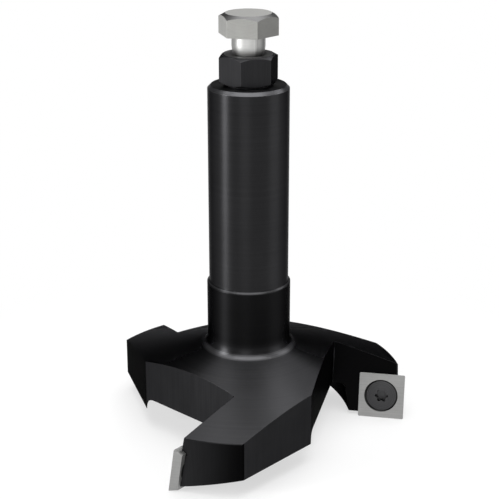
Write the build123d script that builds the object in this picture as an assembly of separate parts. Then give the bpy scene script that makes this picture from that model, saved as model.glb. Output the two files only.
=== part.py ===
from build123d import *
from math import cos, radians, sin, sqrt, tan
import os

# Indexable face cutter on a plain shank, in millimetres.
# The origin is on the axis at the shank's shoulder, and +Z runs up the shank.
# Seen from above the arms stand at 120 degrees and the tool cuts clockwise.

# Shank and collar
SHANK_DIAMETER = 25.0
SHANK_LENGTH = 62.5
SHANK_CHAMFER = 1.0
COLLAR_DIAMETER = 26.4
COLLAR_LENGTH = 21.5
COLLAR_FILLET = 3.5

# Head as turned, before milling
HEAD_DIAMETER = 99.5
HEAD_CONE_ANGLE = 17.5
HEAD_UNDERSIDE = 50.0
RECESS_DIAMETER = 68.0
RECESS_DEPTH = 9.2
RECESS_DRAFT = 6.0
RECESS_FILLET = 2.0
CENTRE_HOLE_DIAMETER = 4.0
CENTRE_HOLE_DEPTH = 6.0
CENTRE_CONE_DIAMETER = 8.5

# Arms and the gullets between them
ARM_COUNT = 3
ARM_DIRECTION = 46.7
ARM_LEADING_OFFSET = 15.4
LEADING_FACE_TURN = 2.5
ARM_TRAILING_OFFSET = 32.8
GULLET_WALL_DISTANCE = 25.0
GULLET_CORNER_RADIUS = 0.5
AXIAL_RAKE = 10.0
FOOT_RELIEF_ANGLE = 14.7
EDGE_BREAK = 0.2

# Inserts, standing proud of the arm's leading face
INSERT_SIZE = 15.0
INSERT_THICKNESS = 2.5
INSERT_BEVEL_ANGLE = 24.0
INSERT_CORNER_RADIUS = 0.4
INSERT_PROUD = 1.0
RADIAL_OVERHANG = 1.4
AXIAL_OVERHANG = 1.1
SEAT_CLEARANCE = 0.05
SEAT_GROOVE_DIAMETER = 0.8

# Insert screws, M5 countersunk, with a six-lobe drive sized from its overall diameter
INSERT_SCREW_PITCH_DIAMETER = 4.48
INSERT_SCREW_HEAD_DIAMETER = 10.0
INSERT_SCREW_LENGTH = 6.5
INSERT_SCREW_TIP_CHAMFER = 0.5
INSERT_SCREW_SINK = 0.35
INSERT_SCREW_DOME = 0.3
INSERT_HOLE_DIAMETER = 6.0
COUNTERSINK_HALF_ANGLE = 45.0
LOBE_DRIVE_DIAMETER = 4.4
LOBE_DRIVE_DEPTH = 1.6
LOBE_COUNT = 6
LOBE_CORE_RATIO = 0.36
LOBE_RADIUS_RATIO = 0.125
LOBE_BLEND_RATIO = 0.04
TAPPED_HOLE_EXTRA_DEPTH = 0.4

# Adjusting screw and lock nut, M10
THREAD_PITCH_DIAMETER = 9.03
THREAD_CLEARANCE = 0.03
HEX_ACROSS_FLATS = 16.0
NUT_HEIGHT = 9.3
NUT_CHAMFER_DIAMETER = 15.4
NUT_FACE_DIAMETER = 14.6
NUT_FACE_HEIGHT = 0.4
NUT_TURN = 14.0
SCREW_HEAD_HEIGHT = 6.4
SCREW_HEAD_CHAMFER_DIAMETER = 14.0
SCREW_HEAD_TURN = 43.5
SCREW_LENGTH = 40.0
SCREW_GAP = 5.8
NECK_DIAMETER = 10.2
NECK_LENGTH = 3.0
NECK_WAIST_DIAMETER = 8.6
NECK_TAPER_LENGTH = 3.2
THREAD_START = 7.0
THREAD_MOUTH_DIAMETER = 10.8
TAPPED_BORE_DEPTH = 46.0
SCREW_TIP_CHAMFER = 1.2
CHAMFER_ANGLE = 30.0
DRILL_POINT_HALF_ANGLE = 59.0

# Sizes worked out from the ones above
SHANK_RADIUS = SHANK_DIAMETER / 2
COLLAR_RADIUS = COLLAR_DIAMETER / 2
HEAD_RADIUS = HEAD_DIAMETER / 2
CUTTING_RADIUS = HEAD_RADIUS + RADIAL_OVERHANG
STEP = COLLAR_RADIUS - SHANK_RADIUS
CONE_SLOPE = tan(radians(HEAD_CONE_ANGLE))
RIM_Z = -COLLAR_LENGTH - (HEAD_RADIUS - COLLAR_RADIUS) * CONE_SLOPE
HEX_CORNER_RADIUS = HEX_ACROSS_FLATS / sqrt(3)
NUT_TOP = SHANK_LENGTH + NUT_HEIGHT
HEAD_BOTTOM = NUT_TOP + SCREW_GAP
FAR = HEAD_DIAMETER

# Plan directions of the first arm: inward along it, and sideways to its trailing face
INWARD = Vector(1, 0, 0).rotate(Axis.Z, ARM_DIRECTION)
TRAILING = Vector(0, -1, 0).rotate(Axis.Z, ARM_DIRECTION)


def leading_offset(z):
    """Distance of the raked leading face from the axis at height z, square to the face."""
    return ARM_LEADING_OFFSET - (RIM_Z - z) * tan(radians(AXIAL_RAKE))


def in_plan(inward, trailing, z=0.0, turn=0.0):
    """A point given along and across the first arm, in axes that may be turned from it."""
    flat = INWARD * inward + TRAILING * trailing
    return flat.rotate(Axis.Z, turn) + Vector(0, 0, z)


def along_wall(z):
    """Where the leading face meets the gullet's wall, across the arm, at height z."""
    turn = radians(LEADING_FACE_TURN)
    return (leading_offset(z) + GULLET_WALL_DISTANCE * sin(turn)) / cos(turn)


def around_axis(shape, index):
    """The shape turned to the arm with this index, clockwise from above."""
    return shape.rotate(Axis.Z, -360 / ARM_COUNT * index)


def turned(*points):
    """A solid turned about Z from a closed outline of (radius, height) points."""
    outline = make_face(Polyline(*[(x, 0, z) for x, z in points], close=True))
    return Solid.revolve(outline.face(), 360, Axis.Z)


def turned_body():
    """Shank, collar and head as they leave the lathe."""
    recess_z = -HEAD_UNDERSIDE + RECESS_DEPTH
    recess_radius = RECESS_DIAMETER / 2
    recess_floor_radius = recess_radius - RECESS_DEPTH * tan(radians(RECESS_DRAFT))
    with BuildPart() as body:
        with BuildSketch(Plane.XZ) as half:
            with BuildLine():
                Polyline(
                    (0, SHANK_LENGTH),
                    (SHANK_RADIUS - SHANK_CHAMFER, SHANK_LENGTH),
                    (SHANK_RADIUS, SHANK_LENGTH - SHANK_CHAMFER),
                    (SHANK_RADIUS, 0),
                    (COLLAR_RADIUS, -STEP),
                    (COLLAR_RADIUS, -COLLAR_LENGTH),
                    (HEAD_RADIUS, RIM_Z),
                    (HEAD_RADIUS, -HEAD_UNDERSIDE),
                    (recess_radius, -HEAD_UNDERSIDE),
                    (recess_floor_radius, recess_z),
                    (0, recess_z),
                    close=True,
                )
            make_face()
            fillet(corner_near(half, COLLAR_RADIUS, -COLLAR_LENGTH), COLLAR_FILLET)
            fillet(corner_near(half, recess_floor_radius, recess_z), RECESS_FILLET)
        revolve(axis=Axis.Z)
    return body.part.solid()


def corner_near(sketch, radius, height):
    """The vertex of a turning outline at a radius and height."""
    return sketch.vertices().sort_by_distance((radius, height, 0))[0]


def gullet():
    """The open space ahead of the first arm, back to the next arm's trailing face."""
    next_inward = INWARD.rotate(Axis.Z, -360 / ARM_COUNT)
    next_trailing = TRAILING.rotate(Axis.Z, -360 / ARM_COUNT)
    wall_side = ARM_TRAILING_OFFSET + GULLET_WALL_DISTANCE * INWARD.dot(next_trailing)
    wall_end = in_plan(-GULLET_WALL_DISTANCE, wall_side / TRAILING.dot(next_trailing))
    far_trailing = wall_end - next_inward * FAR
    levels = []
    for z in (-HEAD_UNDERSIDE - INSERT_SIZE, SHANK_LENGTH):
        corner = in_plan(-GULLET_WALL_DISTANCE, along_wall(z))
        far_leading = corner + in_plan(-FAR, 0, turn=LEADING_FACE_TURN)
        lift = Vector(0, 0, z)
        ring = [corner + lift, wall_end + lift, far_trailing + lift, far_leading + lift]
        levels.append(Wire.make_polygon(ring))
    space = Solid.make_loft(levels, ruled=True)
    root = space.edges().sort_by_distance(in_plan(-GULLET_WALL_DISTANCE, along_wall(0)))[0]
    return space.fillet(GULLET_CORNER_RADIUS, [root])


def foot_relief():
    """A wedge that slopes the first arm's underside up behind its leading face."""
    low = leading_offset(-HEAD_UNDERSIDE)
    high = ARM_TRAILING_OFFSET + COLLAR_LENGTH
    rise = (high - low) * tan(radians(FOOT_RELIEF_ANGLE))
    corners = [(low, 0), (high, rise), (high, -rise), (low, -rise)]
    ring = [in_plan(0, across, -HEAD_UNDERSIDE + up, LEADING_FACE_TURN) for across, up in corners]
    section = make_face(Polyline(*ring, close=True)).face()
    return Solid.extrude(section, in_plan(-FAR, 0, turn=LEADING_FACE_TURN))


def insert_plane():
    """Plane at the middle of the first arm's insert, on the leading face, looking out of it."""
    rake = radians(AXIAL_RAKE)
    lowest = -HEAD_UNDERSIDE - AXIAL_OVERHANG
    z = lowest + INSERT_SIZE / 2 * cos(rake) - INSERT_PROUD * sin(rake)
    outward = in_plan(0, -cos(rake), sin(rake), LEADING_FACE_TURN)
    edge_side = leading_offset(lowest) - INSERT_PROUD / cos(rake)
    reach = sqrt(CUTTING_RADIUS**2 - edge_side**2)
    middle = in_plan(INSERT_SIZE / 2 - reach, leading_offset(z), z, LEADING_FACE_TURN)
    return Plane(origin=middle, x_dir=in_plan(-1, 0, turn=LEADING_FACE_TURN), z_dir=outward)


def tapered_square(size_out, size_in, thickness, corner_radius):
    """A square plate on local Z, larger at the top, with four sloping sides."""
    with BuildPart() as plate:
        for size, height in ((size_out, 0), (size_in, -thickness)):
            with BuildSketch(Plane.XY.offset(height)):
                RectangleRounded(size, size, corner_radius)
        loft(ruled=True)
    return plate.part.solid()


def insert_blank():
    """The insert's outer form, with its cutting face at local height INSERT_PROUD."""
    shrink = 2 * INSERT_THICKNESS * tan(radians(INSERT_BEVEL_ANGLE))
    plate = tapered_square(INSERT_SIZE, INSERT_SIZE - shrink, INSERT_THICKNESS, INSERT_CORNER_RADIUS)
    return plate.translate((0, 0, INSERT_PROUD))


def insert_seat():
    """The pocket in the leading face, open outward and downward, with relieved corners."""
    floor = INSERT_PROUD - INSERT_THICKNESS
    slope = tan(radians(INSERT_BEVEL_ANGLE))
    half_floor = INSERT_SIZE / 2 - INSERT_THICKNESS * slope + SEAT_CLEARANCE
    levels = []
    for height in (floor, INSERT_PROUD + INSERT_THICKNESS):
        half = half_floor + (height - floor) * slope
        ring = [(-half, half), (INSERT_SIZE, half), (INSERT_SIZE, -INSERT_SIZE), (-half, -INSERT_SIZE)]
        levels.append(Wire.make_polygon([Vector(x, y, height) for x, y in ring]))
    groove = SEAT_GROOVE_DIAMETER / 2
    reliefs = [
        Plane(origin=(-half_floor, half_floor, floor), z_dir=(0, 0, 1)),
        Plane(origin=(-half_floor, half_floor - groove, floor), z_dir=(1, 0, 0)),
        Plane(origin=(groove - half_floor, half_floor, floor), z_dir=(0, -1, 0)),
    ]
    cutters = [Solid.make_cylinder(groove, 2 * INSERT_SIZE, plane) for plane in reliefs]
    return Solid.make_loft(levels, ruled=True).fuse(*cutters)


def insert_screw_blank():
    """The clamping screw on local Z, without its drive recess."""
    head_top = INSERT_PROUD - INSERT_SCREW_SINK
    head_radius = INSERT_SCREW_HEAD_DIAMETER / 2
    thread_radius = INSERT_SCREW_PITCH_DIAMETER / 2
    cone = (head_radius - thread_radius) / tan(radians(COUNTERSINK_HALF_ANGLE))
    tip = head_top - INSERT_SCREW_LENGTH
    crown = (0, head_top + INSERT_SCREW_DOME)
    with BuildPart() as screw:
        with BuildSketch(Plane.XZ):
            with BuildLine():
                TangentArc(crown, (head_radius, head_top), tangent=(1, 0))
                Polyline(
                    (head_radius, head_top),
                    (thread_radius, head_top - cone),
                    (thread_radius, tip + INSERT_SCREW_TIP_CHAMFER),
                    (thread_radius - INSERT_SCREW_TIP_CHAMFER, tip),
                    (0, tip),
                    crown,
                )
            make_face()
        revolve(axis=Axis.Z)
    return screw.part.solid()


def lobe_drive():
    """A six-lobe recess on local Z, cut down from the screw's head."""
    lobe = LOBE_DRIVE_DIAMETER * LOBE_RADIUS_RATIO
    bottom = INSERT_PROUD - INSERT_SCREW_SINK - LOBE_DRIVE_DEPTH
    with BuildPart() as drive:
        with BuildSketch(Plane.XY.offset(bottom)) as star:
            Circle(LOBE_DRIVE_DIAMETER * LOBE_CORE_RATIO)
            with PolarLocations(LOBE_DRIVE_DIAMETER / 2 - lobe, LOBE_COUNT):
                Circle(lobe)
            fillet(star.vertices(), LOBE_DRIVE_DIAMETER * LOBE_BLEND_RATIO)
        extrude(amount=LOBE_DRIVE_DEPTH + INSERT_THICKNESS)
    return drive.part.solid()


def insert_hole():
    """The insert's through hole with its countersink, on local Z."""
    head_top = INSERT_PROUD - INSERT_SCREW_SINK
    slope = tan(radians(COUNTERSINK_HALF_ANGLE))
    mouth = INSERT_SCREW_HEAD_DIAMETER / 2 + SEAT_CLEARANCE + INSERT_SCREW_SINK * slope
    bore = INSERT_HOLE_DIAMETER / 2
    cone_end = INSERT_PROUD - (mouth - bore) / slope
    below = INSERT_PROUD - 2 * INSERT_THICKNESS
    return turned((0, INSERT_PROUD), (mouth, INSERT_PROUD), (bore, cone_end), (bore, below), (0, below))


def tapped_hole():
    """The hole for the clamping screw in the arm, on local Z, countersunk like its head."""
    radius = INSERT_SCREW_PITCH_DIAMETER / 2 + THREAD_CLEARANCE
    head_top = INSERT_PROUD - INSERT_SCREW_SINK
    slope = tan(radians(COUNTERSINK_HALF_ANGLE))
    mouth = INSERT_SCREW_HEAD_DIAMETER / 2 + SEAT_CLEARANCE
    cone_end = head_top - (mouth - radius) / slope
    bottom = head_top - INSERT_SCREW_LENGTH - TAPPED_HOLE_EXTRA_DEPTH
    point = bottom - radius / tan(radians(DRILL_POINT_HALF_ANGLE))
    return turned((0, head_top), (mouth, head_top), (radius, cone_end), (radius, bottom), (0, point))


def shank_bore():
    """The blind tapped bore in the shank's end, with its countersunk mouth."""
    radius = THREAD_PITCH_DIAMETER / 2 + THREAD_CLEARANCE
    mouth = THREAD_MOUTH_DIAMETER / 2
    bottom = SHANK_LENGTH - TAPPED_BORE_DEPTH
    return turned(
        (0, SHANK_LENGTH),
        (mouth, SHANK_LENGTH),
        (radius, SHANK_LENGTH - mouth + radius),
        (radius, bottom),
        (0, bottom - radius / tan(radians(DRILL_POINT_HALF_ANGLE))),
    )


def centre_hole():
    """The lathe centre in the middle of the head's underside."""
    floor = -HEAD_UNDERSIDE + RECESS_DEPTH
    pilot = CENTRE_HOLE_DIAMETER / 2
    cone = CENTRE_CONE_DIAMETER / 2
    cone_depth = (cone - pilot) / tan(radians(CHAMFER_ANGLE))
    return turned(
        (0, floor),
        (cone, floor),
        (pilot, floor + cone_depth),
        (pilot, floor + CENTRE_HOLE_DEPTH),
        (0, floor + CENTRE_HOLE_DEPTH + pilot / tan(radians(DRILL_POINT_HALF_ANGLE))),
    )


def cutter_body():
    """Shank, collar and three-armed head in one piece."""
    body = turned_body()
    seat = insert_plane()
    cuts = [gullet(), foot_relief()]
    for index in range(ARM_COUNT):
        body = body.cut(*[around_axis(cut, index) for cut in cuts]).solid()
    body = broken_edges(body)
    holes = [seat.from_local_coords(insert_seat()), seat.from_local_coords(tapped_hole())]
    for index in range(ARM_COUNT):
        body = body.cut(*[around_axis(hole, index) for hole in holes]).solid()
    return body.cut(shank_bore(), centre_hole()).solid()


def broken_edges(body):
    """The body with the edges round its arms' outer faces lightly chamfered."""
    sharp = [edge for edge in body.edges() if all(on_outer_face(edge @ at) for at in (0, 0.5, 1))]
    return body.chamfer(EDGE_BREAK, None, sharp)


def on_outer_face(point):
    """Whether a point lies on the rim of the head as turned."""
    return abs(Vector(point.X, point.Y).length - HEAD_RADIUS) < EDGE_BREAK


def insert():
    """One square insert with its countersunk hole, in its local plane."""
    return insert_blank().cut(insert_hole()).solid()


def insert_screw():
    """One clamping screw with its six-lobe recess, in its local plane."""
    return insert_screw_blank().cut(lobe_drive()).solid()


def hexagon(height, turn, chamfer_diameter, foot):
    """A hexagonal blank on Z = 0, its top corners rounded off and its underside turned.

    One corner is turned this far from -Y towards -X. The underside follows the foot, a list
    of (radius, height) points from the middle out.
    """
    outline = RegularPolygon(HEX_CORNER_RADIUS, 6, rotation=-90 - turn)
    prism = Solid.extrude(outline.face(), Vector(0, 0, height))
    circle = chamfer_diameter / 2
    outer, drop = beyond_corner(circle)
    envelope = turned((0, 0), *foot, (outer, height - drop), (circle, height), (0, height))
    return prism.intersect(envelope).solid()


def beyond_corner(circle):
    """The radius just outside a hexagon's corners, and a chamfer's fall from a circle to it."""
    outer = HEX_CORNER_RADIUS + EDGE_BREAK
    return outer, (outer - circle) * tan(radians(CHAMFER_ANGLE))


def lock_nut():
    """Hexagon nut on its washer face on the shank's end, chamfered above and below."""
    circle = NUT_CHAMFER_DIAMETER / 2
    outer, drop = beyond_corner(circle)
    foot = [
        (NUT_FACE_DIAMETER / 2, 0),
        (NUT_FACE_DIAMETER / 2, NUT_FACE_HEIGHT),
        (circle, NUT_FACE_HEIGHT),
        (outer, NUT_FACE_HEIGHT + drop),
    ]
    nut = hexagon(NUT_HEIGHT, NUT_TURN, NUT_CHAMFER_DIAMETER, foot)
    radius = THREAD_PITCH_DIAMETER / 2 + THREAD_CLEARANCE
    mouth = THREAD_MOUTH_DIAMETER / 2
    sink = mouth - radius
    bore = turned(
        (0, 0), (mouth, 0), (radius, sink), (radius, NUT_HEIGHT - sink), (mouth, NUT_HEIGHT), (0, NUT_HEIGHT)
    )
    return nut.cut(bore).solid().translate((0, 0, SHANK_LENGTH))


def adjusting_screw():
    """Hexagon screw with a tapered neck, its thread running through the nut into the shank."""
    foot = [(HEX_CORNER_RADIUS + EDGE_BREAK, 0)]
    head = hexagon(SCREW_HEAD_HEIGHT, SCREW_HEAD_TURN, SCREW_HEAD_CHAMFER_DIAMETER, foot)
    thread = THREAD_PITCH_DIAMETER / 2
    waist = NECK_WAIST_DIAMETER / 2
    neck = NECK_DIAMETER / 2
    taper_start = (neck, -NECK_LENGTH)
    taper_end = (waist, -NECK_LENGTH - NECK_TAPER_LENGTH)
    with BuildPart() as stem:
        with BuildSketch(Plane.XZ):
            with BuildLine():
                Polyline((0, -SCREW_LENGTH), (0, 0), (neck, 0), taper_start)
                TangentArc(taper_start, taper_end, tangent=(0, -1))
                Polyline(
                    taper_end,
                    (waist, -THREAD_START),
                    (thread, -THREAD_START - (thread - waist)),
                    (thread, -SCREW_LENGTH + SCREW_TIP_CHAMFER),
                    (thread - SCREW_TIP_CHAMFER, -SCREW_LENGTH),
                    (0, -SCREW_LENGTH),
                )
            make_face()
        revolve(axis=Axis.Z)
    return head.fuse(stem.part.solid()).solid().translate((0, 0, HEAD_BOTTOM))


def write(shape, name):
    export_step(shape, os.path.join("parts", name + ".step"))


def main():
    os.makedirs("parts", exist_ok=True)
    write(cutter_body(), "cutter_body")
    write(lock_nut(), "lock_nut")
    write(adjusting_screw(), "adjusting_screw")
    seat = insert_plane()
    for index in range(ARM_COUNT):
        number = str(index + 1)
        write(around_axis(seat.from_local_coords(insert()), index), "insert_" + number)
        write(around_axis(seat.from_local_coords(insert_screw()), index), "insert_screw_" + number)


main()
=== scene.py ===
from math import pi, radians, sin, cos

import bpy
import numpy as np
from mathutils import Vector, Matrix


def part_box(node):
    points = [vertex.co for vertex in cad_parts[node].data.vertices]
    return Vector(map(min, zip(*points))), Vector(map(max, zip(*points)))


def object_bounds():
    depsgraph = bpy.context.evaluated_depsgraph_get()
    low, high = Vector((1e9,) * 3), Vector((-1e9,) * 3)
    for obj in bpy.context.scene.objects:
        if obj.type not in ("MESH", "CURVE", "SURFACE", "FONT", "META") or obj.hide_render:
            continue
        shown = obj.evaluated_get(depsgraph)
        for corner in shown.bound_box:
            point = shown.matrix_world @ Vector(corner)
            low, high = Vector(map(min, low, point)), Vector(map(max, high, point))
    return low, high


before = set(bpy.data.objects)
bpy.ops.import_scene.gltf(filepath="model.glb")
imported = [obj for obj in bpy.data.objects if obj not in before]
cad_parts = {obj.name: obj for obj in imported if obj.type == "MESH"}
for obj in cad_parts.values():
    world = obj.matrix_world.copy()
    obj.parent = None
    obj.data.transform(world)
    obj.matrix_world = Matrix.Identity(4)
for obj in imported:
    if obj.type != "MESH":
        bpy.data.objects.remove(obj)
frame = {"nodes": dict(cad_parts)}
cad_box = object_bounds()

MM = 0.001
WHITE = (1, 1, 1, 1)
scene = bpy.context.scene
scene.view_settings.view_transform = "Standard"


def grey(value, blue=0.0):
    return (value, value, value * (1 + blue), 1)


# The photograph's frame is 499 pixels square. The camera was fitted to the tool's edges in it.
PHOTO_WIDTH = 499
FOCAL_PIXELS = 1345.66
PRINCIPAL_X, PRINCIPAL_Y = 249.5, 269.40
CAMERA_AT = (0.0, -398.877 * MM, 153.506 * MM)
PITCH, YAW, ROLL = 0.3612, 0.0006, -0.0008
SENSOR_WIDTH = 36.0
CLIP_NEAR, CLIP_FAR = 0.01, 50.0

# Sizes of the CAD: the height of the adjusting screw's head, and the radius of an insert's hole
HEX_HEAD_HEIGHT = 6.4 * MM
HOLE_RADIUS = 5.4 * MM

# Bearings round the axis from +X, in degrees, of the front arm's cutting edge and of the way
# in which an arm's leading face looks, and the angle from an arm's edge to its heel
ARM_COUNT = 3
EDGE_BEARING = 244.7
LEADING_BEARING = 139.2
ARM_WIDTH_ANGLE = 23.2

# A noise seldom leaves this range. The materials stretch it to the values that they need.
NOISE_RANGE = (0.3, 0.7)
BEVEL_SAMPLES = 8
# The quarter turn that draws a highlight out across the grooves, not along them
ACROSS_GROOVES = 0.25
# The Mix node's sockets for numbers and for colours, which have the same names
NUMBER_A, NUMBER_B, NUMBER_RESULT = 2, 3, 0
COLOUR_A, COLOUR_B, COLOUR_RESULT = 6, 7, 2

# Soft edges of the masks on the black steel. Each pair is where a mask is 0 and where it is 1.
# Heights along the axis, from the shank's shoulder
SHOULDER_Z = 0.0
FILLET_Z = -20 * MM
SEAM_TOP = (-0.1 * MM, -0.25 * MM)
SEAM_BOTTOM = (-0.65 * MM, -0.5 * MM)
NEAR_SEAM = (2 * MM, 1 * MM)
COLLAR_TOP = (-0.7 * MM, -1.0 * MM)
COLLAR_FOOT = (FILLET_Z, -17 * MM)
HEAD_TOP = (-21 * MM, -22 * MM)
TINT_CHANGE = (-12 * MM, -21 * MM)
MOUTH_TOP = (70.5 * MM, 70.7 * MM)
# Distances from the axis
NEAR_SHANK = (17 * MM, 15 * MM)
IN_GULLET = (32 * MM, 31.5 * MM)
RIM = (49.2 * MM, 49.4 * MM)
IN_MOUTH = (7.7 * MM, 7.3 * MM)
# How far a face's normal leans to the axis: 0 on a wall, 1 on a level face
STEEP = (0.12, 0.03)
UPRIGHT = (0.3, 0.2)
OFF_WALLS = (0.42, 0.72)
OFF_CONE = (0.95, 0.8)
CONE = (0.9, 0.95)
# How far a face looks ahead, as Graph.ahead gives it, and a gullet's root wall on that scale
LEADING = (0.9, 0.97)
ROOT_WALL_AHEAD = -0.13
OFF_ROOT_WALL = (0.1, 0.25)

# Black oxide: its grey, how blue it is, its roughness, and how much rougher the collar is
OXIDE_GREY, OXIDE_BLUE = 0.026, 0.05
OXIDE_ROUGHNESS, COLLAR_ROUGHER = 0.4, 0.1
# How many times its grey the collar, the cone, the walls, the fillet and the bevels have: a painted dark
# reflection on the collar, painted light on the cone, painted shade on the walls and painted highlights
# on the fillet and the bevels; and the seam's share of a bevel's painted highlight
COLLAR_SHADE_TONE, CONE_LIGHT_TONE, WALL_SHADE_TONE = 0.42, 1.6, 0.12
FILLET_HIGHLIGHT_TONE, BEVEL_HIGHLIGHT_TONE = 4.7, 4.6
SEAM_HIGHLIGHT_SHARE = 0.6
# The tint of faces seen nearly edge-on, which is darker on the head than on the shank
SHANK_EDGE_TINT, HEAD_EDGE_TINT, NUT_EDGE_TINT = 0.42, 0.1, 0.2
# Its wear: the grey under it, how much of that shows on an edge, and how patchy it is
WORN_GREY, WORN_SHARE = 0.13, 0.16
WORN_PATCHES, LEAST_WORN = (0.35, 0.65), 0.3
# A painted highlight round the lock nut's mouth: its grey, and its mean share
MOUTH_GLINT_GREY, MOUTH_GLINT_SHARE = 0.4, 0.75
# Its marks: spacing of the lathe's rings, width and upright stretch of the cutter's streaks, and
# the height below which walls are milled. All of the nut's walls are.
FINE_RINGS, COARSE_RINGS, COARSE_SHARE = 0.35 * MM, 1.3 * MM, 0.45
STREAK_WIDTH, STREAK_STRETCH = 0.5 * MM, (1, 1, 0.03)
BODY_MILLED, NUT_MILLED, MILLED_EDGE = -23 * MM, 100 * MM, 1 * MM
# Sizes of its clouds and grain, and how far its roughness follows the grain and not the marks
OXIDE_CLOUD, OXIDE_GRAIN, SATIN_GRAIN_SHARE = 14 * MM, 0.9 * MM, 0.3
# How much the grooves draw out a highlight
BODY_ANISOTROPY, NUT_ANISOTROPY = 0.8, 0.3

# Bright zinc: colours of the head's sides, of its top, which is painted lighter, of its chamfer, which is
# painted darker, and of worn edges, and of the neck, whose brightness is partly a painted reflection
ZINC_SIDE = (0.33, 0.33, 0.316, 1)
ZINC_LIT_TOP = grey(0.4, -0.03)
ZINC_SHADED_CHAMFER = grey(0.14)
ZINC_WORN, ZINC_WORN_SHARE = grey(0.6), 0.3
ZINC_NECK_AND_SHEEN = (0.56, 0.56, 0.55, 1)
ZINC_ROUGHNESS, TOP_ROUGHER, NECK_ROUGHNESS = 0.43, 0.12, 0.46
ZINC_RINGS, ZINC_CLOUD, ZINC_GRAIN = 0.3 * MM, 5 * MM, 0.5 * MM
NECK_EDGE = 0.2 * MM
CHAMFER_EDGE_TINT = 0.3
# How far its faces look up
LOOKS_UP = (0.98, 0.99)
CHAMFER_OFF_SIDE, CHAMFER_OFF_TOP = (0.5, 0.7), (0.98, 0.93)
# The bearing in which the head's side with painted shade looks, and how near to it counts, as a cosine
SHADED_SIDE_BEARING = -43.5
SHADED_SIDE_REACH, SHADED_SIDE_TONE = (0.9, 0.97), 0.45
# Painted shade darkens the neck on two opposite sides, at this bearing and half a turn on
NECK_SHADE_BEARING = 7.5
NECK_SIDES, NECK_SHADE_TONE = (-0.6, 0.6), 0.45

# Carbide, with its honed edges and painted shade in the hole for its screw
CARBIDE, CARBIDE_ROUGHNESS = (0.31, 0.31, 0.306, 1), 0.45
CARBIDE_HONED, HONED_SHARE = grey(0.62), 0.5
FINE_SCRATCHES, COARSE_SCRATCHES, SCRATCH_SHARE = 0.12 * MM, 0.6 * MM, 0.4
CARBIDE_CLOUD, CARBIDE_GRAIN = 6 * MM, 0.25 * MM
HOLE_SHADE_COLOUR, HOLE_EDGE = grey(0.02), 0.1 * MM

# The blackened insert screws
SCREW_BLACK, SCREW_ROUGHNESS = grey(0.055, 0.03), 0.41
SCREW_WORN, SCREW_WORN_SHARE = grey(0.2), 0.35
SCREW_RINGS, SCREW_GRAIN = 0.3 * MM, 0.4 * MM
SCREW_EDGE_TINT = 0.8

# The room's light, and how high its pale horizon reaches as the sine of an elevation
ROOM_LIGHT = 0.15
HORIZON_HEIGHT = 0.25

# The floor: a disc whose picture turns from mostly to wholly white between two distances
FLOOR_Z = cad_box[0][2]
FLOOR_REACH, FLOOR_SIDES = 3.0, 96
FLOOR_COLOUR, FLOOR_ROUGHNESS, FLOOR_GRAIN = grey(0.9), 0.8, 4 * MM
FLOOR_WHITENS, NEAR_WHITENESS = (0.05, 0.14), 0.6

# Lamps: name, azimuth from the camera's side and elevation in degrees, distance, width and
# height in metres, and the level to which each lights a white face that looks at it
LAMPS = (
    ("top", 0, 89, 0.8, 0.8, 0.95, 1.15),
    ("back", 160, 50, 0.9, 0.45, 0.4, 0.15),
    ("kicker", 122, 41, 0.9, 0.3, 0.3, 0.1),
    ("left", -68, 12, 0.7, 0.16, 0.4, 0.72),
    ("right", 76, 12, 0.7, 0.4, 0.4, 0.2),
    ("front", -10, 15, 0.9, 0.4, 0.4, 0.15),
)


def make_camera():
    data = bpy.data.cameras.new("camera")
    data.sensor_width = SENSOR_WIDTH
    data.lens = FOCAL_PIXELS / PHOTO_WIDTH * data.sensor_width
    data.shift_x = (PHOTO_WIDTH / 2 - PRINCIPAL_X) / PHOTO_WIDTH
    data.shift_y = (PRINCIPAL_Y - PHOTO_WIDTH / 2) / PHOTO_WIDTH
    data.clip_start = CLIP_NEAR
    data.clip_end = CLIP_FAR
    camera = bpy.data.objects.new("camera", data)
    ahead = Vector((sin(YAW) * cos(PITCH), cos(YAW) * cos(PITCH), -sin(PITCH)))
    side = Vector((cos(YAW), -sin(YAW), 0.0))
    up = side.cross(ahead)
    right = side * cos(ROLL) + up * sin(ROLL)
    up = up * cos(ROLL) - side * sin(ROLL)
    turn = Matrix((right, up, -ahead)).transposed()
    camera.matrix_world = Matrix.Translation(CAMERA_AT) @ turn.to_4x4()
    scene.collection.objects.link(camera)
    scene.camera = camera


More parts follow.
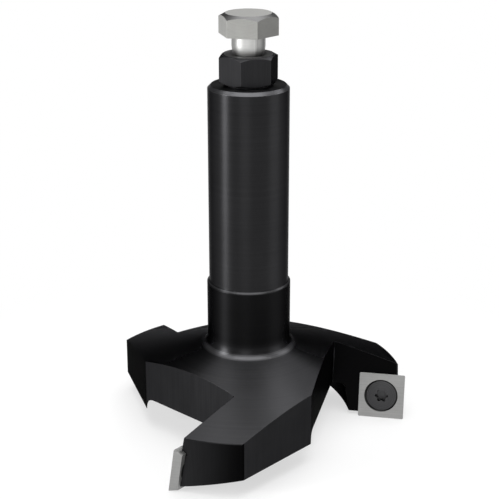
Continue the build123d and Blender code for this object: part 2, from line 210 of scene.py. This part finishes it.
class Graph:
    """A material's node graph, with short calls for the nodes that the materials here use."""

    def __init__(self, name):
        self.material = bpy.data.materials.new(name)
        self.material.use_nodes = True
        self.nodes = self.material.node_tree.nodes
        self.links = self.material.node_tree.links
        self.shader = self.nodes["Principled BSDF"]

    def feed(self, socket, value):
        """Link a node's output to a socket, or set the socket to a constant."""
        if isinstance(value, bpy.types.NodeSocket):
            self.links.new(value, socket)
        elif value is not None:
            socket.default_value = value

    def math(self, operation, a, b=None, c=None, clamp=False):
        node = self.nodes.new("ShaderNodeMath")
        node.operation = operation
        node.use_clamp = clamp
        for socket, value in zip(node.inputs, (a, b, c)):
            self.feed(socket, value)
        return node.outputs[0]

    def times(self, product, *factors):
        for factor in factors:
            product = self.math("MULTIPLY", product, factor)
        return product

    def vector(self, operation, a, b=None, scale=None):
        node = self.nodes.new("ShaderNodeVectorMath")
        node.operation = operation
        self.feed(node.inputs[0], a)
        self.feed(node.inputs[1], b)
        if scale is not None:
            self.feed(node.inputs["Scale"], scale)
        single = operation in ("DOT_PRODUCT", "LENGTH")
        return node.outputs["Value" if single else "Vector"]

    def place(self):
        return self.nodes.new("ShaderNodeTexCoord").outputs["Object"]

    def split(self, vector):
        node = self.nodes.new("ShaderNodeSeparateXYZ")
        self.feed(node.inputs[0], vector)
        return node.outputs

    def normal(self):
        node = self.nodes.new("ShaderNodeNewGeometry")
        return node.outputs["True Normal"]

    def radius(self, place):
        """A place's distance from the axis."""
        return self.vector("LENGTH", self.vector("MULTIPLY", place, (1, 1, 0)))

    def bearing(self, vector):
        """A vector's angle round the axis from +X, in radians."""
        x, y, z = self.split(vector)
        return self.math("ARCTAN2", y, x)

    def ahead(self):
        """1 where a face looks the way that the arms lead, -1 where it trails."""
        turn = self.math("SUBTRACT", self.bearing(self.normal()), radians(LEADING_BEARING))
        return self.math("COSINE", self.math("MULTIPLY", turn, ARM_COUNT))

    def behind_edge(self):
        """0 at each arm's cutting edge to 1 at its heel, round the axis."""
        pitch = 2 * pi / ARM_COUNT
        turn = self.math("SUBTRACT", self.bearing(self.place()), radians(EDGE_BEARING))
        step = self.math("FLOORED_MODULO", turn, pitch)
        return self.math("DIVIDE", step, radians(ARM_WIDTH_ANGLE), clamp=True)

    def lines(self, along, spacing, detail=2.0):
        """Random lines across a distance in metres, 0 to 1."""
        node = self.nodes.new("ShaderNodeTexNoise")
        node.noise_dimensions = "1D"
        self.feed(node.inputs["W"], self.math("MULTIPLY", along, 1.0 / spacing))
        node.inputs["Scale"].default_value = 1.0
        node.inputs["Detail"].default_value = detail
        return node.outputs["Fac"]

    def noise(self, place, size, detail=3.0, stretch=(1, 1, 1)):
        """Random grain of a size in metres, 0 to 1, drawn out along an axis by a low stretch."""
        node = self.nodes.new("ShaderNodeTexNoise")
        scaled = self.vector("MULTIPLY", place, tuple(s / size for s in stretch))
        self.feed(node.inputs["Vector"], scaled)
        node.inputs["Scale"].default_value = 1.0
        node.inputs["Detail"].default_value = detail
        return node.outputs["Fac"]

    def span(self, value, low, high, to_low=0.0, to_high=1.0):
        """A smooth step from to_low, where the value is low, to to_high, where it is high."""
        node = self.nodes.new("ShaderNodeMapRange")
        node.interpolation_type = "SMOOTHSTEP"
        for socket, item in zip(node.inputs, (value, low, high, to_low, to_high)):
            self.feed(socket, item)
        return node.outputs["Result"]

    def band(self, value, rise, fall):
        """1 between two soft edges, each given as where it is 0 and where it is 1."""
        return self.times(self.span(value, *rise), self.span(value, *fall))

    def vary(self, noise, middle, by):
        """A noise as a value that varies by so much to either side of its middle."""
        return self.span(noise, *NOISE_RANGE, middle - by, middle + by)

    def blend(self, factor, a, b, clamp=True):
        """A colour from a, where the factor is 0, to b, where it is 1."""
        node = self.nodes.new("ShaderNodeMix")
        node.data_type = "RGBA"
        node.clamp_factor = clamp
        self.feed(node.inputs["Factor"], factor)
        self.feed(node.inputs[COLOUR_A], a)
        self.feed(node.inputs[COLOUR_B], b)
        return node.outputs[COLOUR_RESULT]

    def shaded(self, tone, colour):
        """A colour times a tone, which may be more than 1."""
        return self.blend(tone, grey(0.0), colour, clamp=False)

    def mix(self, factor, a, b):
        """A number from a, where the factor is 0, to b, where it is 1."""
        node = self.nodes.new("ShaderNodeMix")
        self.feed(node.inputs["Factor"], factor)
        self.feed(node.inputs[NUMBER_A], a)
        self.feed(node.inputs[NUMBER_B], b)
        return node.outputs[NUMBER_RESULT]

    def softened(self, radius):
        """The normal, with edges rounded off by a radius."""
        bevel = self.nodes.new("ShaderNodeBevel")
        bevel.samples = BEVEL_SAMPLES
        bevel.inputs["Radius"].default_value = radius
        return bevel.outputs["Normal"]

    def worn_edges(self, radius, gain):
        """1 along convex and concave edges and 0 on open faces."""
        same = self.vector("DOT_PRODUCT", self.softened(radius), self.normal())
        return self.math("MULTIPLY", self.math("SUBTRACT", 1.0, same), gain, clamp=True)

    def relief(self, marks, grain, grain_share, depth, radius):
        """Bump of a depth from marks and grain, both 0 to 1, over edges softened by a radius."""
        bump = self.nodes.new("ShaderNodeBump")
        bump.inputs["Strength"].default_value = 1.0
        bump.inputs["Distance"].default_value = depth
        self.feed(bump.inputs["Height"], self.mix(grain_share, marks, grain))
        self.feed(bump.inputs["Normal"], self.softened(radius))
        self.feed(self.shader.inputs["Normal"], bump.outputs["Normal"])

    def metal(self, colour, roughness, edge_tint):
        """A metal, which mirrors its edge tint where it is seen nearly edge-on."""
        self.shader.inputs["Metallic"].default_value = 1.0
        self.feed(self.shader.inputs["Specular Tint"], edge_tint)
        self.feed(self.shader.inputs["Base Color"], colour)
        self.feed(self.shader.inputs["Roughness"], roughness)

    def turned(self, anisotropy):
        """Highlights drawn out across the grooves that a lathe leaves round the axis."""
        round_axis = self.vector("CROSS_PRODUCT", self.place(), (0, 0, -1))
        self.feed(self.shader.inputs["Tangent"], self.vector("NORMALIZE", round_axis))
        self.shader.inputs["Anisotropic"].default_value = anisotropy
        self.shader.inputs["Anisotropic Rotation"].default_value = ACROSS_GROOVES


def oxide_marks(g, place, z, radius, lean, milled_below):
    """A lathe's rings, and a cutter's upright streaks on the walls below a height, 0 to 1."""
    along = g.math("SUBTRACT", z, radius)
    rings = g.mix(COARSE_SHARE, g.lines(along, FINE_RINGS), g.lines(along, COARSE_RINGS, detail=1.0))
    streaks = g.noise(place, STREAK_WIDTH, stretch=STREAK_STRETCH)
    milled = g.times(g.span(lean, *STEEP), g.span(z, milled_below, milled_below - MILLED_EDGE))
    return g.mix(milled, rings, streaks)


def painted_highlight_slopes(g, z, radius, lean):
    """1 where highlights are painted: on the fillet and the bevels round the shank, but on its shoulder
    only a faint seam.
    """
    slope = g.band(lean, OFF_WALLS, OFF_CONE)
    seam = g.times(g.band(z, SEAM_TOP, SEAM_BOTTOM), SEAM_HIGHLIGHT_SHARE)
    near_seam = g.span(g.math("ABSOLUTE", z), *NEAR_SEAM)
    return g.times(slope, g.span(radius, *NEAR_SHANK), g.mix(near_seam, 1.0, seam))


def painted_shade_walls(g, z, radius, lean):
    """1 where shade is painted: on the arms' leading faces, at the rim's heel and on the walls of a
    gullet's corners.
    """
    upright = g.times(g.span(z, *HEAD_TOP), g.span(lean, *UPRIGHT))
    leading = g.span(g.ahead(), *LEADING)
    heel = g.span(g.behind_edge(), 0.0, 1.0)
    wall_shade = g.times(upright, g.mix(g.span(radius, *RIM), leading, heel))
    off_root_wall = g.math("ABSOLUTE", g.math("SUBTRACT", g.ahead(), ROOT_WALL_AHEAD))
    corner = g.times(upright, g.span(radius, *IN_GULLET), g.span(off_root_wall, *OFF_ROOT_WALL))
    return g.math("MAXIMUM", wall_shade, corner)


def painted_mouth_glint(g, z, radius, cloud):
    """1 on the lock nut's mouth, where a highlight is painted lighter."""
    return g.times(g.span(z, *MOUTH_TOP), g.span(radius, *IN_MOUTH), g.vary(cloud, MOUTH_GLINT_SHARE, by=0.25))


def black_oxide(name, milled_below, anisotropy, edge_tint, head_edge_tint=None):
    """Blackened steel: turned rings on round surfaces, cutter streaks on flat walls."""
    g = Graph(name)
    place = g.place()
    z = g.split(place)[2]
    radius = g.radius(place)
    lean = g.math("ABSOLUTE", g.split(g.normal())[2])
    marks = oxide_marks(g, place, z, radius, lean, milled_below)
    cloud = g.noise(place, OXIDE_CLOUD, detail=4.0)
    grain = g.noise(place, OXIDE_GRAIN, detail=2.0)
    collar = g.band(z, COLLAR_TOP, COLLAR_FOOT)
    # Painted highlights: the fillet and the bevels round the shank are made many times brighter
    highlight_tone = g.span(z, FILLET_Z, SHOULDER_Z, FILLET_HIGHLIGHT_TONE, BEVEL_HIGHLIGHT_TONE)
    # Painted light: the head's cone, which looks up, is made lighter
    cone = g.times(g.span(z, *HEAD_TOP), g.span(lean, *CONE))
    tone = g.times(
        g.vary(cloud, 1.0, by=0.05),
        g.vary(marks, 1.0, by=0.07),
        # Painted dark reflection: the collar is darker, for the black head that it mirrors
        g.mix(collar, 1.0, COLLAR_SHADE_TONE),
        # Painted highlights on the fillet and the bevels
        g.mix(painted_highlight_slopes(g, z, radius, lean), 1.0, highlight_tone),
        g.mix(cone, 1.0, CONE_LIGHT_TONE),
        # Painted shade on the leading faces, the rim's heel and the gullets' corners
        g.mix(painted_shade_walls(g, z, radius, lean), 1.0, WALL_SHADE_TONE),
    )
    black = g.shaded(tone, grey(OXIDE_GREY, OXIDE_BLUE))
    # A painted highlight round the lock nut's mouth
    black = g.blend(painted_mouth_glint(g, z, radius, cloud), black, grey(MOUTH_GLINT_GREY))
    patches = g.span(cloud, *WORN_PATCHES, LEAST_WORN, 1.0)
    worn = g.times(g.worn_edges(radius=0.25 * MM, gain=2.2), patches, WORN_SHARE)
    colour = g.blend(worn, black, grey(WORN_GREY))
    satin = g.vary(g.mix(SATIN_GRAIN_SHARE, marks, grain), OXIDE_ROUGHNESS, by=0.03)
    tint = grey(edge_tint)
    if head_edge_tint is not None:
        tint = g.blend(g.span(z, *TINT_CHANGE), tint, grey(head_edge_tint))
    g.metal(colour, g.math("ADD", satin, g.times(collar, COLLAR_ROUGHER)), tint)
    g.turned(anisotropy)
    g.relief(marks, grain, grain_share=0.25, depth=0.002 * MM, radius=0.18 * MM)
    return g.material


def neck_with_painted_shade(g, place, tone):
    """The neck's colour, brighter than the head partly by its turned finish and partly by a painted
    reflection, with painted shade on two opposite sides.
    """
    turn = g.math("MULTIPLY_ADD", g.bearing(place), 2.0, radians(-2 * NECK_SHADE_BEARING))
    # Painted shade on two opposite sides of the neck
    shaded_sides = g.span(g.math("COSINE", turn), *NECK_SIDES, 1.0, NECK_SHADE_TONE)
    return g.blend(g.times(tone, shaded_sides), grey(0.0), ZINC_NECK_AND_SHEEN)


def bright_zinc():
    """The adjusting screw: bright plating over a cold-headed hexagon and a turned neck."""
    g = Graph("bright_zinc")
    place = g.place()
    z = g.split(place)[2]
    rings = g.lines(g.math("SUBTRACT", z, g.radius(place)), ZINC_RINGS)
    cloud = g.noise(place, ZINC_CLOUD, detail=4.0)
    grain = g.noise(place, ZINC_GRAIN)
    # Painted shade: one side of the head is darker
    off_shaded_side = g.math("SUBTRACT", g.bearing(g.normal()), radians(SHADED_SIDE_BEARING))
    painted_shade_side = g.span(g.math("COSINE", off_shaded_side), *SHADED_SIDE_REACH)
    tone = g.times(
        g.vary(cloud, 1.0, by=0.05),
        g.vary(rings, 1.0, by=0.03),
        g.mix(painted_shade_side, 1.0, SHADED_SIDE_TONE),
    )
    up = g.split(g.normal())[2]
    top = g.span(up, *LOOKS_UP)
    chamfer = g.band(up, CHAMFER_OFF_SIDE, CHAMFER_OFF_TOP)
    # Painted light on the head's top and painted shade on its chamfer
    head = g.blend(chamfer, g.blend(top, g.shaded(tone, ZINC_SIDE), ZINC_LIT_TOP), ZINC_SHADED_CHAMFER)
    head_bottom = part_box("adjusting_screw")[1][2] - HEX_HEAD_HEIGHT
    neck = g.span(z, head_bottom, head_bottom - NECK_EDGE)
    plated = g.blend(neck, head, neck_with_painted_shade(g, place, tone))
    worn = g.times(g.worn_edges(radius=0.3 * MM, gain=2.0), ZINC_WORN_SHARE)
    satin = g.math("ADD", g.vary(grain, ZINC_ROUGHNESS, by=0.03), g.times(top, TOP_ROUGHER))
    g.metal(
        g.blend(worn, plated, ZINC_WORN),
        g.mix(neck, satin, NECK_ROUGHNESS),
        g.blend(chamfer, WHITE, grey(CHAMFER_EDGE_TINT)),
    )
    g.relief(rings, grain, grain_share=0.5, depth=0.002 * MM, radius=0.12 * MM)
    return g.material


def axis_of(node):
    """A point on a round piece's axis and the axis itself, from how its vertices spread."""
    points = np.array([v.co[:] for v in node.data.vertices])
    middle = points.mean(axis=0)
    values, vectors = np.linalg.eigh(np.cov((points - middle).T))
    gaps = [abs(values[i] - values[j]) for i, j in ((1, 2), (0, 2), (0, 1))]
    return middle, vectors[:, int(np.argmin(gaps))]


def from_axis(g, place, node):
    """Distance of a place from a round piece's own axis."""
    middle, axis = axis_of(node)
    offset = g.vector("SUBTRACT", place, tuple(middle))
    along = g.vector("DOT_PRODUCT", offset, tuple(axis))
    foot = g.vector("SCALE", tuple(axis), scale=along)
    return g.vector("LENGTH", g.vector("SUBTRACT", offset, foot))


def ground_carbide(node, screw):
    """An insert: fine grinding lines, a light hone along its edges and painted shade in the hole for its
    screw.
    """
    g = Graph("carbide_" + node.name)
    place = g.place()
    z = g.split(place)[2]
    # Painted shade in the hole for the insert's screw
    hole_shade = g.span(from_axis(g, place, screw), HOLE_RADIUS + HOLE_EDGE, HOLE_RADIUS)
    fine, coarse = g.lines(z, FINE_SCRATCHES, detail=3.0), g.lines(z, COARSE_SCRATCHES)
    scratches = g.mix(SCRATCH_SHARE, fine, coarse)
    grain = g.noise(place, CARBIDE_GRAIN)
    cloud = g.noise(place, CARBIDE_CLOUD)
    tone = g.times(g.vary(scratches, 1.0, by=0.07), g.vary(cloud, 1.0, by=0.04))
    honed = g.times(g.worn_edges(radius=0.12 * MM, gain=2.5), HONED_SHARE)
    ground = g.blend(honed, g.shaded(tone, CARBIDE), CARBIDE_HONED)
    g.metal(g.blend(hole_shade, ground, HOLE_SHADE_COLOUR), g.vary(grain, CARBIDE_ROUGHNESS, by=0.05), WHITE)
    g.relief(scratches, grain, grain_share=0.4, depth=0.004 * MM, radius=0.06 * MM)
    return g.material


def blackened_screw(node):
    """An insert screw: turned rings round its own axis, and a drive worn at its rim."""
    g = Graph("blackened_" + node.name)
    place = g.place()
    rings = g.lines(from_axis(g, place, node), SCREW_RINGS)
    grain = g.noise(place, SCREW_GRAIN)
    black = g.shaded(g.vary(rings, 1.0, by=0.15), SCREW_BLACK)
    worn = g.times(g.worn_edges(radius=0.15 * MM, gain=2.0), SCREW_WORN_SHARE)
    colour = g.blend(worn, black, SCREW_WORN)
    g.metal(colour, g.vary(grain, SCREW_ROUGHNESS, by=0.05), grey(SCREW_EDGE_TINT))
    g.relief(rings, grain, grain_share=0.4, depth=0.006 * MM, radius=0.1 * MM)
    return g.material


def dress(node, material):
    for slot in node.material_slots:
        slot.material = material


def paint():
    nodes = frame["nodes"]
    body = black_oxide("black_oxide_body", BODY_MILLED, BODY_ANISOTROPY, SHANK_EDGE_TINT, HEAD_EDGE_TINT)
    nut = black_oxide("black_oxide_nut", NUT_MILLED, NUT_ANISOTROPY, NUT_EDGE_TINT)
    dress(nodes["cutter_body"], body)
    dress(nodes["lock_nut"], nut)
    dress(nodes["adjusting_screw"], bright_zinc())
    for number in "123":
        insert, screw = nodes["insert_" + number], nodes["insert_screw_" + number]
        dress(insert, ground_carbide(insert, screw))
        dress(screw, blackened_screw(screw))


def softbox(name, azimuth, elevation, distance, width, height, level):
    """An area lamp that faces the origin, given by the values that LAMPS lists."""
    flat = distance * cos(radians(elevation))
    rise = distance * sin(radians(elevation))
    at = Vector((flat * sin(radians(azimuth)), -flat * cos(radians(azimuth)), rise))
    data = bpy.data.lights.new(name, "AREA")
    data.shape = "RECTANGLE"
    data.size, data.size_y = width, height
    data.energy = level * (pi * distance) ** 2
    lamp = bpy.data.objects.new(name, data)
    lamp.location = at
    lamp.rotation_euler = (-at).to_track_quat("-Z", "Y").to_euler()
    scene.collection.objects.link(lamp)


def make_world():
    """A dim room that is pale along the horizon, the same for every ray."""
    world = bpy.data.worlds.new("studio")
    scene.world = world
    world.use_nodes = True
    nodes, links = world.node_tree.nodes, world.node_tree.links
    direction = nodes.new("ShaderNodeTexCoord").outputs["Generated"]
    parts = nodes.new("ShaderNodeSeparateXYZ")
    links.new(direction, parts.inputs[0])
    height = nodes.new("ShaderNodeMapRange")
    height.interpolation_type = "SMOOTHSTEP"
    links.new(parts.outputs["Z"], height.inputs["Value"])
    height.inputs["From Min"].default_value = 0.0
    height.inputs["From Max"].default_value = HORIZON_HEIGHT
    height.inputs["To Min"].default_value = 1.0
    height.inputs["To Max"].default_value = ROOM_LIGHT
    room = nodes["Background"]
    room.inputs["Color"].default_value = WHITE
    links.new(height.outputs["Result"], room.inputs["Strength"])


def picture_rays(g):
    """1 for rays that see the background as it looks in the picture, directly or in the object."""
    path = g.nodes.new("ShaderNodeLightPath")
    total = path.outputs["Is Camera Ray"]
    for name in ("Is Glossy Ray", "Is Transmission Ray"):
        total = g.math("MAXIMUM", total, path.outputs[name])
    return total


def floor_material():
    """A pale floor that shows shadows near the object and is white to picture rays further out."""
    g = Graph("pale_floor")
    place = g.place()
    g.shader.inputs["Base Color"].default_value = FLOOR_COLOUR
    g.shader.inputs["Specular IOR Level"].default_value = 0.0
    grain = g.noise(place, FLOOR_GRAIN)
    g.feed(g.shader.inputs["Roughness"], g.vary(grain, FLOOR_ROUGHNESS, by=0.05))
    glow = g.nodes.new("ShaderNodeEmission")
    glow.inputs["Color"].default_value = WHITE
    whiteness = g.span(g.radius(place), *FLOOR_WHITENS, NEAR_WHITENESS, 1.0)
    choose = g.nodes.new("ShaderNodeMixShader")
    g.links.new(g.times(whiteness, picture_rays(g)), choose.inputs[0])
    g.links.new(g.shader.outputs[0], choose.inputs[1])
    g.links.new(glow.outputs[0], choose.inputs[2])
    g.links.new(choose.outputs[0], g.nodes["Material Output"].inputs["Surface"])
    return g.material


def make_floor():
    mesh = bpy.data.meshes.new("floor")
    turns = [2 * pi * i / FLOOR_SIDES for i in range(FLOOR_SIDES)]
    ring = [(FLOOR_REACH * cos(turn), FLOOR_REACH * sin(turn), FLOOR_Z) for turn in turns]
    mesh.from_pydata(ring, [], [tuple(range(FLOOR_SIDES))])
    floor = bpy.data.objects.new("floor", mesh)
    scene.collection.objects.link(floor)
    mesh.materials.append(floor_material())


make_camera()
paint()
make_world()
make_floor()
for lamp_values in LAMPS:
    softbox(*lamp_values)
